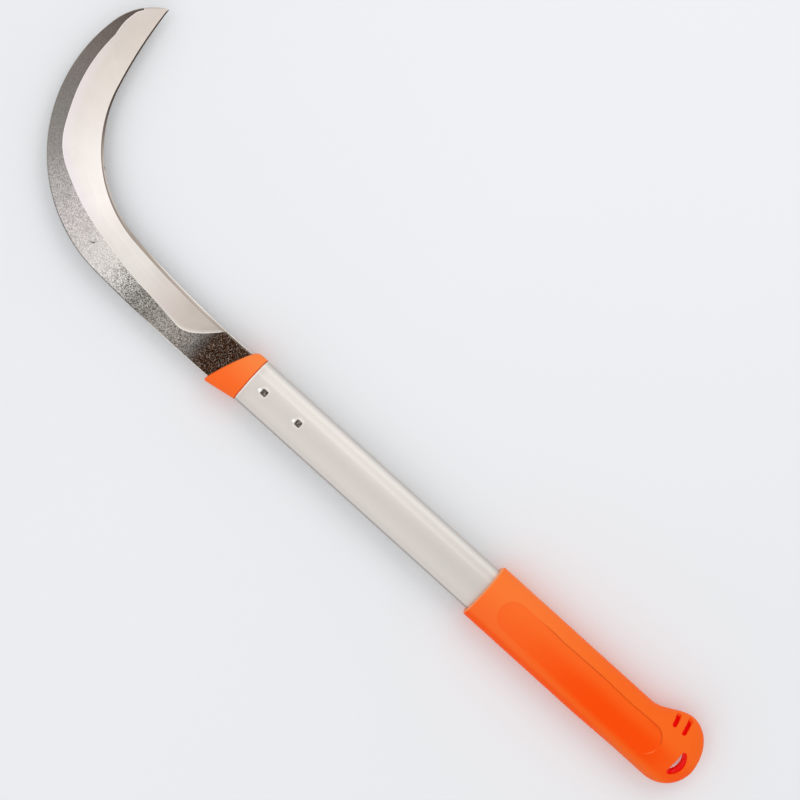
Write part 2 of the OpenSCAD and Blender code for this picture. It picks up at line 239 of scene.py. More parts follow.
class Finish:
    """The material of one surface of the tool. Its constants go on the shader's own sockets."""

    def __init__(self, name, constants):
        self.material = bpy.data.materials.new(name)
        self.material.use_nodes = True
        self.tree = self.material.node_tree
        self.shader = self.tree.nodes["Principled BSDF"]
        for socket, value in constants.items():
            self.shader.inputs[socket].default_value = value

    def node(self, kind, settings, sockets, output=0):
        """Adds a node: its settings are set first, then its sockets get values or links."""
        made = self.tree.nodes.new("ShaderNode" + kind)
        for name, value in settings.items():
            if name == "stops":
                ramp = made.color_ramp.elements
                while len(ramp) < len(value):
                    ramp.new(1)
                for stop, (place, colour) in zip(ramp, value):
                    stop.position = place
                    stop.color = (*colour, 1)
            else:
                setattr(made, name, value)
        for name, value in sockets.items():
            self.feed(made.inputs[name], value)
        return Reading(self, made.outputs[output])

    def feed(self, socket, value):
        """Links a reading to a socket, or sets the socket to a value."""
        if isinstance(value, Reading):
            self.tree.links.new(value.socket, socket)
        else:
            socket.default_value = value

    def show(self, **looks):
        """Feeds the shader's sockets that vary, such as Base_Color or Roughness."""
        for name, value in looks.items():
            self.feed(self.shader.inputs[name.replace("_", " ")], value)

    def place(self, stretch=(1, 1, 1)):
        """Where a point is on the tool, in metres, stretched along each axis."""
        spot = self.node("TexCoord", {}, {}, "Object")
        return self.node("Mapping", {}, {"Vector": spot, "Scale": stretch})

    def coordinate(self, axis):
        """One coordinate of a point on the tool: X, Y or Z, in metres."""
        return self.node("SeparateXYZ", {}, {"Vector": self.node("TexCoord", {}, {}, "Object")}, axis)

    def stored(self, name):
        """A number stored on the mesh."""
        return self.node("Attribute", {"attribute_name": name}, {}, "Fac")

    def distance(self, place):
        """How far a point is from a place on the tool."""
        return self.node("VectorMath", {"operation": "DISTANCE"}, {0: self.place(), 1: place}, "Value")

    def spot(self, place, radius):
        """1 at a place on the tool, falling to 0 at this distance from it."""
        return self.step(self.distance(place), radius, 0)

    def specks(self, per_metre):
        """A random number from 0 to 1 in each of so many small cells to the metre."""
        cells = self.node("TexVoronoi", {}, {"Vector": self.place(), "Scale": per_metre}, "Color")
        return self.node("SeparateColor", {}, {"Color": cells}, "Red")

    def band(self, value, middle, reach):
        """1 where value is at the middle, falling to 0 at this reach on both sides."""
        return self.step(abs(value - middle), reach, 0)

    def grain(self, spot, per_metre, detail=2, roughness=0.5):
        """Noise from about 0 to 1, with so many grains to the metre."""
        sockets = {"Vector": spot, "Scale": per_metre, "Detail": detail, "Roughness": roughness}
        return self.node("TexNoise", {}, sockets)

    def step(self, value, low, high):
        """0 below low, 1 above high, and smooth between them."""
        sockets = {"Value": value, "From Min": low, "From Max": high}
        return self.node("MapRange", {"interpolation_type": "SMOOTHSTEP"}, sockets)

    def blend(self, share, first, second):
        """A colour between two, each of them a value or a link."""
        sockets = {0: share, 6: as_colour(first), 7: as_colour(second)}
        return self.node("Mix", {"data_type": "RGBA"}, sockets, 2)

    def layered(self, tone, *layers):
        """A tone with others laid over it in turn. Each layer is how much of it shows, and its tone."""
        for share, layer_tone in layers:
            tone = self.blend(share, tone, layer_tone)
        return tone

    def relief(self, height, depth, under=None):
        """A bump of this depth in metres where height goes from 0 to 1."""
        sockets = {"Height": height, "Distance": depth, "Strength": 1}
        if under:
            sockets["Normal"] = under
        return self.node("Bump", {}, sockets)


def as_colour(value):
    """A link as it is, or a red, green and blue with their alpha added."""
    return value if isinstance(value, Reading) else (*value, 1)


def screen(red, green, blue):
    """A colour given as it looks on a screen, 0 to 255, as the light that it stands for."""
    return tuple((part / 255) ** 2.2 for part in (red, green, blue))


# A bare metal mirrors the white backdrop, and looks this much brighter than its base colour
room_shine = 1.2


def bare_metal(red, green, blue):
    """The base colour of a metal that looks like this on a screen, as it mirrors the pale room."""
    return tuple(part / room_shine for part in screen(red, green, blue))


# The tube's skin is pale and a little warm, and the extrusion die left faint lines along it. Two paler
# streaks along it are painted highlights, as are its shoulders, its rim at the mouth and a faint ring
# round each hole; a painted glint lies on each hole's burr on the side towards the mouth, and a painted
# dark band runs along its low side.
anodised = Finish("satin_anodised_aluminium", {"Metallic": 1})
tube_x = anodised.coordinate("X")
tube_y = anodised.coordinate("Y") - axis_y
die_lines = anodised.grain(anodised.place((8, 900, 900)), 1, 3)
cloudy = anodised.grain(anodised.place(), 45, 3)
sand = anodised.grain(anodised.place(), 5200, 1)
# Two streaks along the upper side are painted highlights, where the tube mirrors the lamps
streak_highlights = anodised.band(tube_y, -13 * MM, 2.8 * MM) + 0.3 * anodised.band(tube_y, -7.2 * MM, 1.6 * MM)
# A painted highlight along the rim at the mouth
mouth_rim_highlight = anodised.step(tube_x, mouth_x - 1.5 * MM, mouth_x - 0.4 * MM)
# A painted sheen along both shoulders of the tube
shoulder_sheen = anodised.band(abs(tube_y), 14 * MM, 2 * MM)
shaded_side = anodised.step(tube_y, 14.2 * MM, 15.6 * MM)
# A painted glint on each burr on the side towards the mouth, and a faint painted highlight in a ring round
# each hole
burr_glint, burr_ring_highlight = 0, 0
for pin_x in pin_places:
    burr_glint += anodised.spot((pin_x + 3.5 * MM, axis_y + 0.5 * MM, axis_z + tube_half_t), 2 * MM)
    from_hole = anodised.distance((pin_x, axis_y, axis_z + tube_half_t))
    burr_ring_highlight += anodised.band(from_hole, 3.3 * MM, 0.9 * MM)
anodised_tone = anodised.layered(
    anodised.blend(0.6 * cloudy + 0.4 * die_lines, bare_metal(213, 206, 200), bare_metal(223, 217, 211)),
    (0.55 * streak_highlights + mouth_rim_highlight, bare_metal(255, 251, 245)),
    (0.55 * shoulder_sheen, bare_metal(246, 240, 236)),
    (0.5 * shaded_side, bare_metal(140, 126, 124)),
    (0.6 * burr_ring_highlight * cloudy, bare_metal(250, 246, 242)),
    (anodised.step(burr_glint, 0.25, 0.6), bare_metal(255, 253, 250)))
anodised.show(
    Base_Color=anodised_tone,
    Roughness=0.44 + 0.12 * die_lines + 0.06 * cloudy,
    Normal=anodised.relief(sand, 0.006 * MM, anodised.relief(die_lines, 0.01 * MM)))
tube.data.materials.append(anodised.material)
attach(tube, "root")
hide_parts("handle_tube")


# Blade: one carbon steel forging, from the flat tang inside the tube to the hooked point. Its
# skin stays dark and grainy from the forge in a strip along the back. The rest is ground to a
# bright bevel on this side only, with a narrow second bevel along the cutting edge.

# The back starts at a place and heading by the collar, and runs to the point by arcs of a radius
# and a turn. The cutting edge starts there, at an angle to the back, and runs to the heel.
back_start = (mouth_x + 21.7 * MM, axis_y + 16.95 * MM, math.radians(1))
back_arcs = [
    (1450 * MM, math.radians(3.9)), (106.5 * MM, math.radians(98.6)), (42 * MM, math.radians(50))]
tip_angle = math.radians(65.5)
edge_arcs = [(323 * MM, math.radians(10.5)), (87 * MM, math.radians(68.2)), (650 * MM, math.radians(9.2))]
blade_length = 320 * MM
skin_end = 302 * MM
back_chamfer = 0.6 * MM
honed_w = 1.25 * MM
blade_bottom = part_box("blade")[0].z
blade_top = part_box("blade")[1].z
flat_back_z = blade_bottom + 0.3 * MM
skin_step = 0.55 * MM
ground_step = 1.6 * MM
skin_relief = 0.14 * MM
hammer_relief = 0.12 * MM


def follow(points, pose, side, arcs):
    """Each point's place along a chain of arcs and its distance from it, and where the chain ends."""
    x, y, heading = pose
    passed_by = 0
    nearest = np.full(len(points), np.inf)
    along = np.zeros(len(points))
    for radius, turn in arcs:
        start = heading - side * math.pi / 2
        to_centre = heading + side * math.pi / 2
        centre = np.array([x + radius * math.cos(to_centre), y + radius * math.sin(to_centre)])
        spoke = np.arctan2(points[:, 1] - centre[1], points[:, 0] - centre[0])
        turned = np.clip((side * (spoke - start) + math.pi) % (2 * math.pi) - math.pi, 0, turn)
        at = start + side * turned
        foot = centre + radius * np.stack([np.cos(at), np.sin(at)], 1)
        gap = np.linalg.norm(points[:, :2] - foot, axis=1)
        nearer = gap < nearest
        nearest[nearer] = gap[nearer]
        along[nearer] = (passed_by + radius * turned)[nearer]
        heading += side * turn
        x, y = centre + side * radius * np.array([math.sin(heading), -math.cos(heading)])
        passed_by += radius * turn
    return along, nearest, (x, y, heading)


def places_on_blade(points):
    """How far each point lies along the blade's back, from its back and from its cutting edge."""
    points = np.array(points)
    along, from_back, (tip_x, tip_y, tip_heading) = follow(points, back_start, -1, back_arcs)
    edge_start = (tip_x, tip_y, tip_heading + tip_angle + math.pi)
    return along, from_back, follow(points, edge_start, 1, edge_arcs)[1]


touching = 0.001 * MM


def copy_of_node(node, name):
    """A copy of a CAD node as a new piece, its doubled vertices merged, open in edit mode."""
    bpy.ops.object.select_all(action="DESELECT")
    frame["nodes"][node].select_set(True)
    bpy.context.view_layer.objects.active = frame["nodes"][node]
    bpy.ops.object.duplicate()
    piece = bpy.context.object
    piece.name = name
    piece.data.materials.clear()
    del piece["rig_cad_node"]
    edit(piece)
    bpy.ops.mesh.select_all(action="SELECT")
    bpy.ops.mesh.remove_doubles(threshold=touching)
    return piece


blade = copy_of_node("blade", "forged_blade")
bpy.ops.mesh.tris_convert_to_quads(face_threshold=math.radians(6), shape_threshold=math.pi)
FORGED, GROUND, HONED, FLAT_BACK = range(4)
faces_down = -0.5
faces_up = 0.3
faces_straight_up = 0.9
level_gap = 0.1 * MM
skin_fall = 0.065 * MM


def blade_zone(face):
    """Which surface of the blade a face belongs to, by its slope and place."""
    middle = face.calc_center_median()
    if face.normal.z < faces_down:
        return FLAT_BACK if middle.z > flat_back_z - level_gap else FORGED
    if face.normal.z < faces_up:
        return FORGED
    along, from_back, from_edge = (float(values[0]) for values in places_on_blade([middle]))
    fall = max(vertex.co.z for vertex in face.verts) - middle.z
    if along < skin_end and (fall < skin_fall or from_back < min(back_chamfer, from_edge)):
        return FORGED
    return HONED if from_edge < min(honed_w, 0.4 * from_back) else GROUND


shape = bmesh.from_edit_mesh(blade.data)
for face in shape.faces:
    face.material_index = blade_zone(face)
bmesh.update_edit_mesh(blade.data)
pick("EDGE", lambda edge: len({face.material_index for face in edge.link_faces}) > 1)
bpy.ops.mesh.mark_sharp()

# The line where the skin ends and the grinding starts, as points close together
grind_line = []
line_steps = 6
for edge in bmesh.from_edit_mesh(blade.data).edges:
    zones = {face.material_index for face in edge.link_faces}
    if zones == {FORGED, GROUND} and min(face.normal.z for face in edge.link_faces) > faces_straight_up:
        start, end = (vertex.co for vertex in edge.verts)
        grind_line += [start.lerp(end, step / line_steps) for step in range(line_steps + 1)]
line_finder = KDTree(len(grind_line))
for index, spot in enumerate(grind_line):
    line_finder.insert(spot, index)
line_finder.balance()


def in_zone(edge, zones):
    """Whether an edge is on one of these surfaces, on the blade's upper side."""
    return any(face.material_index in zones and face.normal.z > faces_up for face in edge.link_faces)


for zones, longest, halvings in (((FORGED,), skin_step, 6), ((GROUND, HONED), ground_step, 4)):
    for halving in range(halvings):
        pick("EDGE", lambda edge: in_zone(edge, zones) and edge.calc_length() > longest)
        bpy.ops.mesh.subdivide(number_cuts=1)
bpy.ops.mesh.select_all(action="SELECT")
bpy.ops.mesh.quads_convert_to_tris(quad_method="BEAUTY", ngon_method="BEAUTY")
bpy.ops.object.mode_set(mode="OBJECT")

# Four measures are stored at each point of the blade, and its finishes follow them
along, from_back, from_edge = places_on_blade([vertex.co for vertex in blade.data.vertices])
from_line = np.array([line_finder.find(vertex.co)[2] for vertex in blade.data.vertices])
measures = {"along": along, "from_back": from_back, "from_edge": from_edge, "from_line": from_line}
for name, values in measures.items():
    blade.data.attributes.new(name, "FLOAT", "POINT").data.foreach_set("value", values)

# The skin's relief is roughest by the heel, and dies out at the grinding line and the chamfer
inside_skin = blade.vertex_groups.new(name="inside_skin")
fade = 1.6 * MM
roughness = np.interp(along, (60 * MM, 200 * MM), (1, 0.45))
inside = np.minimum(from_line, np.maximum(from_back - back_chamfer, 0)) / fade
for vertex in blade.data.vertices:
    if vertex.co.z > axis_z:
        inside_skin.add([vertex.index], min(inside[vertex.index], 1) * roughness[vertex.index], "REPLACE")
for name, grain_size, depth in (("skin", 1.2 * MM, skin_relief), ("hammer", 8 * MM, hammer_relief)):
    clouds = bpy.data.textures.new(name, "CLOUDS")
    clouds.noise_scale = grain_size
    clouds.noise_depth = 2
    apply_modifier(blade, "DISPLACE", texture=clouds, strength=depth, mid_level=0.7, direction="Z",
                   texture_coords="OBJECT", vertex_group="inside_skin")
bpy.ops.object.shade_smooth_by_angle(angle=math.radians(40), keep_sharp_edges=True)


class BladeFinish(Finish):
    """A finish whose tones run along the blade's back."""

    def ramp(self, stops):
        """A colour that runs along the back, from stops [millimetres, red, green, blue]."""
        stops = [(place * MM / blade_length, bare_metal(*colour)) for place, *colour in stops]
        return self.node("ValToRGB", {"stops": stops}, {"Fac": self.stored("along") / blade_length})

    def shaded(self, tone, shade):
        """A tone made darker where shade is below 1, and lighter above it."""
        return self.node("VectorMath", {"operation": "SCALE"}, {"Vector": tone, "Scale": shade})


# The forged skin: dark scale by the heel with warm specks, then grainy, then worn bright with few pits,
# and smooth by the nose; much of that brightness is a painted highlight, brightest from about 84 to 140 mm
# from the heel. Its rim has a painted highlight at the heel and the nose and painted shade between them.
forge_skin = BladeFinish("forge_skin", {"Metallic": 1})
from_heel = forge_skin.stored("along")
grain = forge_skin.grain(forge_skin.place(), 1600, roughness=0.6)
fine_grain = forge_skin.grain(forge_skin.place(), 2900)
stains = forge_skin.grain(forge_skin.place(), 75, 3, 0.6)

# Along the back in millimetres: the tone in the pits, and that of the worn skin between them. Both carry a
# painted highlight, brightest from about 84 to 140 mm.
pit_tone_with_sheen = forge_skin.ramp([
    (0, 32, 18, 10), (12, 34, 22, 14), (20, 68, 62, 59), (30, 80, 74, 68), (42, 98, 93, 87),
    (55, 86, 81, 75), (68, 48, 44, 40), (84, 104, 99, 94), (104, 182, 176, 172), (140, 156, 149, 147),
    (165, 140, 135, 132), (185, 132, 127, 124), (210, 122, 118, 114), (260, 112, 103, 99),
    (295, 92, 81, 78)])
worn_tone_with_sheen = forge_skin.ramp([
    (0, 82, 68, 58), (12, 88, 78, 71), (20, 148, 142, 138), (30, 176, 168, 162), (42, 184, 178, 172),
    (55, 174, 169, 162), (68, 184, 180, 175), (84, 234, 229, 224), (104, 224, 218, 214),
    (140, 218, 211, 209), (165, 190, 185, 182), (185, 158, 152, 149), (210, 138, 134, 130),
    (260, 126, 117, 113), (295, 104, 93, 90)])
worn_share = forge_skin.step(0.72 * forge_skin.specks(2500) + 0.28 * grain, 0.22, 0.78)
worn_share = worn_share + 0.4 * (stains - 0.5) - 0.42 * forge_skin.step(from_heel, 24 * MM, 12 * MM)
# More of the worn tone about 102 mm from the heel, as part of the painted highlight
worn_share = worn_share + 0.2 * forge_skin.band(from_heel, 102 * MM, 26 * MM)
by_collar = forge_skin.step(from_heel, 22 * MM, 11 * MM)
rust = forge_skin.step(forge_skin.specks(2900), 0.76, 0.86)
bright = forge_skin.step(forge_skin.specks(3300), 0.9, 0.95)

# A crescent-shaped dent, dark inside, lies in the skin before the bend
dent = forge_skin.band(forge_skin.distance((214.4 * MM, 59.7 * MM, blade_top)), 4.2 * MM, 1.1 * MM)
dent = dent * forge_skin.spot((210.9 * MM, 63.5 * MM, blade_top), 4.6 * MM)
# A painted highlight along the rim of the back, bright by the heel and the nose, with painted shade
# between them
back_rim_highlight = forge_skin.step(forge_skin.stored("from_back"), 0.7 * MM, 0.25 * MM)
back_rim_highlight_tone = forge_skin.ramp([
    (0, 255, 250, 244), (48, 250, 244, 236), (66, 66, 54, 52), (150, 74, 62, 60),
    (178, 168, 162, 148), (300, 176, 168, 150)])
# A painted highlight along the cutting edge by the heel
heel_edge_highlight = forge_skin.step(forge_skin.stored("from_edge"), 2 * MM, 0.3 * MM)
skin_tone = forge_skin.layered(
    forge_skin.blend(worn_share, pit_tone_with_sheen, worn_tone_with_sheen),
    (0.36 * by_collar * rust, bare_metal(140, 86, 46)),
    (0.6 * by_collar * bright, bare_metal(206, 192, 180)),
    (1.2 * dent * forge_skin.step(grain, 0.35, 0.55), bare_metal(60, 50, 46)),
    (0.9 * back_rim_highlight, back_rim_highlight_tone),
    (0.45 * heel_edge_highlight, bare_metal(190, 178, 166)))
forge_skin.show(
    Base_Color=skin_tone,
    Roughness=0.48 - 0.08 * worn_share + 0.12 * (fine_grain - 0.5),
    Normal=forge_skin.relief(fine_grain, 0.02 * MM, forge_skin.relief(grain, 0.04 * MM)))


def ground_finish(name, stops, roughness, line_depth, line_tone=0, honed=False):
    """Bare ground steel, with the fine slanting lines that the wheel left and a painted highlight along
    the skin.

    A honed edge has its own lines instead: dark and pale ones that follow the cutting edge, and a painted
    highlight along the edge by the heel.
    """
    finish = BladeFinish(name, {"Metallic": 1})
    to_heel = finish.stored("along")
    to_edge = finish.stored("from_edge")
    to_line = finish.stored("from_line")
    wheel_path = finish.node("CombineXYZ", {}, {0: to_heel - 1.1 * to_edge})
    lines = finish.grain(wheel_path, 2200, 4, 0.7)
    streaks = finish.grain(wheel_path, 320, 3, 0.6)
    smudges = finish.grain(finish.place(), 60, 4, 0.6)
    by_heel = finish.step(to_heel, 60 * MM, 30 * MM)
    past_bend = finish.step(to_heel, 90 * MM, 130 * MM)

    # Painted shading: by the heel the steel is painted paler towards the skin, and past the bend paler
    # towards the cutting edge, as the bevel mirrors the lamps
    slope = 3 * by_heel - 6 * finish.step(to_heel, 60 * MM, 110 * MM)
    shade = 1.03 - slope * (9 * MM - to_edge) + 0.16 * (smudges - 0.5)
    shade = shade + 0.1 * by_heel * (lines - 0.5) + line_tone * (streaks - 0.5)

    # A cooler tone lies along the skin, and fades towards the point
    cool = 0.35 * finish.step(to_line, 8 * MM, 1 * MM) * finish.step(to_heel, 110 * MM, 150 * MM)
    cool = cool * (1 - 0.7 * finish.step(to_heel, 235 * MM, 285 * MM))
    tone = finish.blend(cool, finish.shaded(finish.ramp(stops), shade), bare_metal(232, 222, 232))
    if honed:
        dark_line = finish.band(to_edge, 2.2 * MM, 0.5 * MM) * finish.step(to_heel, 110 * MM, 70 * MM)
        pale_side = past_bend * finish.step(to_heel, 205 * MM, 165 * MM)
        pale_side = pale_side * finish.step(to_edge, 1.1 * MM, 0.6 * MM)
        tone = finish.layered(
            tone,
            (0.5 * dark_line, bare_metal(132, 114, 102)),
            (0.45 * past_bend * finish.step(to_edge, 1.1 * MM, 1.4 * MM), bare_metal(70, 58, 54)),
            (0.5 * pale_side, bare_metal(186, 183, 178)))
        # A painted highlight along the cutting edge by the heel
        painted_highlight = 0.8 * finish.step(to_edge, 0.7 * MM, 0.2 * MM) * finish.step(to_heel, 100 * MM, 60 * MM)
    else:
        # A painted highlight along the grinding line, wider by the heel
        painted_highlight = finish.band(to_line, 0.1 * MM, 0.7 * MM) * (0.2 + 0.6 * smudges)
        painted_highlight = painted_highlight + 0.45 * by_heel * finish.step(to_line, 3 * MM, 0)
    finish.show(
        Base_Color=finish.blend(painted_highlight, tone, bare_metal(250, 244, 238)),
        Roughness=roughness + 0.1 * (smudges - 0.5),
        Normal=finish.relief(lines, line_depth))
    return finish


# The bevel's tones along the back carry a painted highlight, brightest about 140 mm from the heel, where
# the bevel mirrors the lamp
bevel_steel = ground_finish("ground_bevel_steel", [
    (0, 186, 176, 166), (35, 193, 182, 174), (50, 205, 195, 188), (80, 222, 216, 210),
    (110, 229, 222, 216), (140, 240, 232, 228), (170, 233, 226, 221), (200, 225, 218, 212),
    (230, 217, 209, 202), (260, 213, 204, 196), (290, 208, 198, 189), (310, 208, 197, 189)],
    0.36, 0.008 * MM)
edge_steel = ground_finish("honed_edge_steel", [
    (0, 180, 168, 158), (50, 168, 156, 147), (90, 152, 141, 132), (140, 152, 142, 134),
    (175, 148, 138, 130), (205, 112, 101, 94), (235, 84, 73, 66), (300, 74, 62, 55)],
    0.42, 0.008 * MM, honed=True)
back_steel = ground_finish("ground_back_steel", [
    (0, 172, 163, 156), (40, 190, 182, 175), (150, 202, 194, 188), (300, 196, 188, 181)],
    0.38, 0.04 * MM, line_tone=0.5)

# In the order of FORGED, GROUND, HONED and FLAT_BACK
for finish in (forge_skin, bevel_steel, edge_steel, back_steel):
    blade.data.materials.append(finish.material)
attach(blade, "root")
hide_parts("blade")


# Nose plug: one orange plastic moulding. Its collar closes the tube's mouth and seats the
# blade's heel, and its long insert inside the tube holds the tang.
plug_edge_r = 0.25 * MM
plug = copy_of_node("nose_plug", "moulded_plug")
bpy.ops.mesh.dissolve_limited(angle_limit=math.radians(0.5))
bpy.ops.object.mode_set(mode="OBJECT")
apply_modifier(
    plug, "BEVEL", width=plug_edge_r, segments=2, limit_method="ANGLE", angle_limit=math.radians(40))
bpy.ops.object.shade_smooth_by_angle(angle=math.radians(35))


class Plastic(Finish):
    """Orange plastic with a fine moulded grain and faint clouds in its tone."""

    def __init__(self, name, glow=0):
        super().__init__(name, {"Specular IOR Level": 0.06, "Emission Strength": glow})
        self.clouds = self.grain(self.place(), 40, 4, 0.6)
        self.show(
            Roughness=0.5 + 0.2 * (self.clouds - 0.5),
            Normal=self.relief(self.grain(self.place(), 2600), 0.02 * MM))

    def across(self, unevenness):
        """How far a point is from the handle's middle line, with so much unevenness in it."""
        return self.coordinate("Y") - axis_y + unevenness * (self.clouds - 0.5)


plug_plastic = Plastic("orange_collar_plastic")
# Painted light and shade: the collar is lighter on the side where the light falls, and darker on the other
plug_shaded_side = plug_plastic.step(plug_plastic.across(6 * MM), -15 * MM, 13 * MM)
# A painted shadow on the collar in the gap at the tube's mouth
plug_joint_shade = plug_plastic.step(plug_plastic.coordinate("X"), mouth_x + 0.8 * MM, mouth_x + 0.3 * MM)
plug_plastic.show(Base_Color=plug_plastic.layered(
    plug_plastic.blend(plug_shaded_side, screen(255, 134, 68), screen(255, 108, 43)),
    (0.75 * plug_joint_shade, screen(190, 60, 10))))
plug.data.materials.append(plug_plastic.material)
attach(plug, "root")
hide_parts("nose_plug")


# Lock pins: two square steel pins driven through tube, plug and tang. Their ends lie just below the tube's
# skin, dark, with paler patches.
pin_corner = 0.7 * MM
pin_edge_r = 0.35 * MM
pin_finish = Finish("dark_pin_steel", {"Metallic": 1})
pin_clouds = pin_finish.grain(pin_finish.place(), 700, 4, 0.6)
paler_part = pin_finish.step(pin_clouds, 0.35, 0.65)
pin_finish.show(
    Base_Color=pin_finish.blend(paler_part, bare_metal(58, 48, 44), bare_metal(150, 140, 132)),
    Roughness=0.5 + 0.2 * (pin_clouds - 0.5),
    Normal=pin_finish.relief(pin_clouds, 0.1 * MM))
for node in ("lock_pin_front", "lock_pin_rear"):
    pin_low, pin_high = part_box(node)
    bpy.ops.object.select_all(action="DESELECT")
    bpy.ops.mesh.primitive_cube_add(size=1, location=(pin_low + pin_high) / 2)
    pin = bpy.context.object
    pin.name = node.replace("lock", "square")
    bpy.ops.transform.resize(value=pin_high - pin_low)
    bpy.ops.object.transform_apply(location=True, scale=True)
    edit(pin)
    pick("EDGE", lambda edge: abs(edge.verts[0].co.z - edge.verts[1].co.z) > MM)
    bpy.ops.mesh.bevel(offset=pin_corner, segments=4)
    bpy.ops.object.mode_set(mode="OBJECT")
    apply_modifier(
        pin, "BEVEL", width=pin_edge_r, segments=3, limit_method="ANGLE", angle_limit=math.radians(60))
    bpy.ops.object.shade_smooth_by_angle(angle=math.radians(35))
    pin.data.materials.append(pin_finish.material)
    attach(pin, "root")
    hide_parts(node)


# Grip: one orange plastic moulding pushed over the tube's end. It has a long shallow panel on
# each face, a finger hook with two blind slots, and a half-moon hole to hang the tool by.
grip_low, grip_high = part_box("grip_sleeve")
butt_x = grip_low.x
grip_mouth_x = grip_high.x
grip_half_t = (grip_high.z - grip_low.z) / 2
grip_half_w = 19.8 * MM
grip_side_r = 12 * MM
grip_fullness = 2.2
bore_play = 0.02 * MM
lip = 1.2 * MM
hook_reach = 10 * MM
hook_length = 27 * MM
butt_length = 21.8 * MM
butt_y = -2.6 * MM
butt_start = butt_x + butt_length
bend_length = 30 * MM
waist_depth = 0.8 * MM
waist_start = butt_start + 58 * MM
waist_length = 34 * MM
taper_start = butt_x + 42 * MM
taper_r = 42.6 * MM
panel_front = grip_mouth_x - 14.4 * MM
panel_length = 133 * MM
panel_back = panel_front - panel_length
panel_r = 10.4 * MM
panel_crown_r = 38 * MM
panel_crown_x = panel_front - 60 * MM
panel_crown_y = axis_y + 0.8 * MM
panel_depth = 0.5 * MM
panel_fall = 0.6 * MM
panel_tilt = math.atan(panel_fall / panel_length)

# Each slot has its middle's distance from the butt and from the axis, and its length
slots = [(22.9 * MM, -22.6 * MM, 11.2 * MM), (30.8 * MM, -21.3 * MM, 8.6 * MM)]
slot_w = 3 * MM
slot_corner = 0.9 * MM
slot_slant = math.radians(7)
slot_floor = 3.2 * MM
hole_x = butt_x + 14.6 * MM
hole_y = axis_y - 0.9 * MM
hole_w = 17.6 * MM
hole_h = 7 * MM
hole_corner = 1.6 * MM
round_end_steps = 32
hole_corner_steps = 8
slot_corner_steps = 5
voxel = 0.52 * MM


def ease(share):
    """A share of the way, from 0 to 1, that starts and ends gently."""
    share = np.clip(share, 0, 1)
    return share * share * (3 - 2 * share)


def grip_outline(x):
    """The grip's middle at x, its reach to the back and to the hook, and its half thickness."""
    rounded = np.sqrt(1 - np.clip((butt_start - x) / butt_length, 0, 1) ** 2)
    middle = butt_y * ease((butt_start + bend_length / 2 - x) / bend_length)
    back = grip_half_w - waist_depth * ease((waist_start - x) / waist_length)
    hook = grip_half_w + hook_reach * ease((butt_start + hook_length - x) / hook_length)
    to_back = butt_y + (back - butt_y) * rounded - middle
    to_hook = middle - butt_y + (hook + butt_y) * rounded
    half_t = grip_half_t * np.sqrt(1 - (np.clip(taper_start - x, 0, 1) / taper_r) ** 2)
    return middle, to_back, to_hook, half_t


# The grip is drawn out ring by ring from its mouth. Each ring has its place along the grip and how
# far it is drawn in from the outline, for the rounded lip.
hook_steps = 20
grip_rings = [
    (grip_mouth_x, lip), (grip_mouth_x - 0.35 * MM, 0.5 * MM), (grip_mouth_x - lip, 0),
    (grip_mouth_x - 60 * MM, 0), (grip_mouth_x - 95 * MM, 0)]
grip_rings += [(butt_start + hook_length * (1 - step / hook_steps), 0) for step in range(hook_steps + 1)]
grip_rings += [(butt_start - butt_length * math.sin(math.radians(angle)), 0) for angle in range(5, 88, 3)]
grip = draw_oval("moulded_grip", grip_mouth_x, grip_half_w - lip, grip_half_t - lip, grip_side_r - lip)
bpy.ops.mesh.edge_face_add()
ring_now = (0, grip_half_w - lip, grip_half_w - lip, grip_half_t - lip)
for (ring_x, ring_inset), (next_x, inset) in zip(grip_rings, grip_rings[1:]):
    middle, to_back, to_hook, half_t = (float(value) for value in grip_outline(next_x))
    ring_next = (middle, to_back - inset, to_hook - inset, half_t - inset)
    step = (next_x - ring_x, middle - ring_now[0], 0)
    bpy.ops.mesh.extrude_region_move(TRANSFORM_OT_translate={"value": step})
    centre = (next_x, axis_y + middle, axis_z)
    bpy.ops.transform.resize(value=(1, 1, ring_next[3] / ring_now[3]), center_override=centre)

    def on_new_ring(vertex):
        return abs(vertex.co.x - next_x) < touching

    for side, reach, reach_before in ((1, ring_next[1], ring_now[1]), (-1, ring_next[2], ring_now[2])):
        pick("VERT", lambda vertex: on_new_ring(vertex) and (vertex.co.y - centre[1]) * side > 0)
        bpy.ops.transform.resize(value=(1, reach / reach_before, 1), center_override=centre)
    pick("VERT", on_new_ring)
    ring_now = ring_next
bpy.ops.mesh.select_all(action="SELECT")
bpy.ops.mesh.normals_make_consistent(inside=False)
bpy.ops.object.mode_set(mode="OBJECT")


def cut(piece, cutter):
    """Takes the cutter's shape out of a piece, and the cutter out of the scene."""
    apply_modifier(piece, "BOOLEAN", object=cutter, operation="DIFFERENCE", solver="EXACT")
    bpy.data.objects.remove(cutter)


